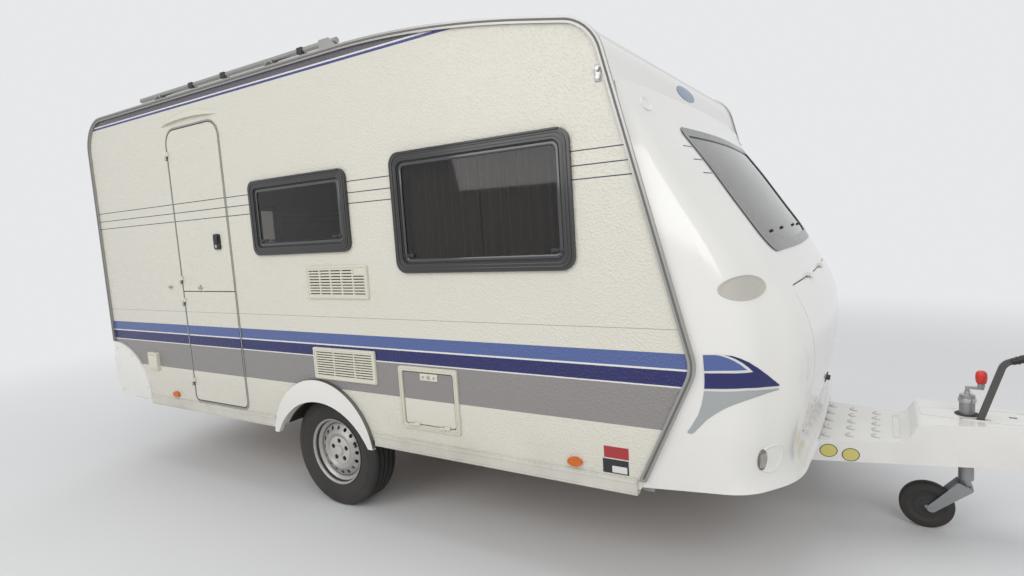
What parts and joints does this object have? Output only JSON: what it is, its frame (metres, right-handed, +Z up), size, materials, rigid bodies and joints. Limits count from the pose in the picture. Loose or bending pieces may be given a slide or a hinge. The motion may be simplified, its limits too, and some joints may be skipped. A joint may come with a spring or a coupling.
{
  "type": "travel caravan",
  "caption": "Single-axle touring caravan with a side stable door, moulded front with a locker lid, covered drawbar and jockey wheel.",
  "frame": {"origin": "on the ground below the middle of the overall length and width", "axes": "+X forward to the coupling, +Y to the caravan's left, +Z up"},
  "size_m": [5.97, 2.3, 2.618],
  "materials": {
    "white_hammered_wall": "satin, hammered",
    "roof_skin": "satin",
    "white_moulding": "gloss",
    "cream_plastic": "satin",
    "charcoal_frame": "gloss",
    "tinted_glass": "tinted",
    "clear_dome": "clear",
    "silver_rail": "anodised",
    "floor_board": "satin",
    "furniture_board": "satin",
    "curtain_cloth": "pleated",
    "galvanised": "galvanised",
    "black_plastic": "satin",
    "tyre_rubber": "matt",
    "wheel_steel": "satin",
    "red_lens": "gloss",
    "orange_lens": "gloss"
  },
  "bodies": {
    "caravan": {"floor_panel": "floor_board", "side_wall_right": "white_hammered_wall", "side_wall_left": "white_hammered_wall", "rear_wall": "white_hammered_wall", "roof_panel": "roof_skin", "nose_moulding": "white_moulding", "front_bulkhead": "floor_board", "window_frames": "charcoal_frame", "window_panes": "tinted_glass", "door_frame": "silver_rail", "door_hood": "white_moulding", "vent_grilles": "cream_plastic", "flap_frame": "cream_plastic", "wheel_arches": "white_moulding", "wheel_housings": "black_plastic", "sill_rails": "cream_plastic", "corner_rails": "silver_rail", "rear_corner_covers": "white_moulding", "rear_bumper": "white_moulding", "rear_lamps": "red_lens", "side_markers": "orange_lens", "power_inlet": "cream_plastic", "roof_rails": "silver_rail", "roof_hatch_frame": "white_moulding", "roof_hatch_dome": "clear_dome", "curtains": "curtain_cloth", "cabinets": "furniture_board", "seat_boxes": "furniture_board", "chassis_rails": "galvanised", "cross_members": "galvanised", "axle": "galvanised", "coupling_head": "galvanised", "handbrake_lever": "black_plastic", "drawbar_cover": "white_moulding", "jockey_tube": "galvanised", "steady_brackets": "galvanised"},
    "wheel_left": {"tyre_left": "tyre_rubber", "rim_left": "wheel_steel"},
    "wheel_right": {"tyre_right": "tyre_rubber", "rim_right": "wheel_steel"},
    "jockey_fork": {"jockey_fork": "galvanised"},
    "jockey_wheel": {"jockey_wheel": "tyre_rubber"},
    "steady_rear_right": {"steady_rear_right": "galvanised"},
    "steady_rear_left": {"steady_rear_left": "galvanised"},
    "steady_front_right": {"steady_front_right": "galvanised"},
    "steady_front_left": {"steady_front_left": "galvanised"},
    "door_upper": {"door_upper": "white_hammered_wall", "door_handle": "black_plastic"},
    "door_lower": {"door_lower": "white_hammered_wall"},
    "locker_lid": {"locker_lid": "white_moulding"},
    "service_flap": {"service_flap": "cream_plastic"}
  },
  "joints": [
    {"name": "wheel_left_spin", "type": "hinge", "parent": "caravan", "child": "wheel_left", "pos_m": [-0.683, 0.972, 0.322], "axis": [0, 1, 0], "continuous": true},
    {"name": "wheel_right_spin", "type": "hinge", "parent": "caravan", "child": "wheel_right", "pos_m": [-0.683, -0.972, 0.322], "axis": [0, 1, 0], "continuous": true},
    {"name": "jockey_swivel", "type": "hinge", "parent": "caravan", "child": "jockey_fork", "pos_m": [2.345, 0, 0.262], "axis": [0, 0, 1], "continuous": true},
    {"name": "jockey_spin", "type": "hinge", "parent": "jockey_fork", "child": "jockey_wheel", "pos_m": [2.195, 0, 0.112], "axis": [0, 1, 0], "continuous": true},
    {"name": "door_upper_hinge", "type": "hinge", "parent": "caravan", "child": "door_upper", "pos_m": [-1.927, -1.14, 1.785], "axis": [0, 0, -1], "range_deg": [0, 170]},
    {"name": "door_lower_hinge", "type": "hinge", "parent": "caravan", "child": "door_lower", "pos_m": [-1.927, -1.14, 0.9], "axis": [0, 0, -1], "range_deg": [0, 170]},
    {"name": "locker_lid_hinge", "type": "hinge", "parent": "caravan", "child": "locker_lid", "pos_m": [1.743, 0, 1.246], "axis": [0, -1, 0], "range_deg": [0, 80]},
    {"name": "service_flap_hinge", "type": "hinge", "parent": "caravan", "child": "service_flap", "pos_m": [0.12, -1.139, 0.602], "axis": [1, 0, 0], "range_deg": [0, 110]},
    {"name": "steady_rear_right_hinge", "type": "hinge", "parent": "caravan", "child": "steady_rear_right", "pos_m": [-2.085, -0.7, 0.42], "axis": [0, -1, 0], "range_deg": [0, 60]},
    {"name": "steady_rear_left_hinge", "type": "hinge", "parent": "caravan", "child": "steady_rear_left", "pos_m": [-2.085, 0.7, 0.42], "axis": [0, -1, 0], "range_deg": [0, 60]},
    {"name": "steady_front_right_hinge", "type": "hinge", "parent": "caravan", "child": "steady_front_right", "pos_m": [0.705, -0.7, 0.42], "axis": [0, 1, 0], "range_deg": [0, 60]},
    {"name": "steady_front_left_hinge", "type": "hinge", "parent": "caravan", "child": "steady_front_left", "pos_m": [0.705, 0.7, 0.42], "axis": [0, 1, 0], "range_deg": [0, 60]}
  ]
}
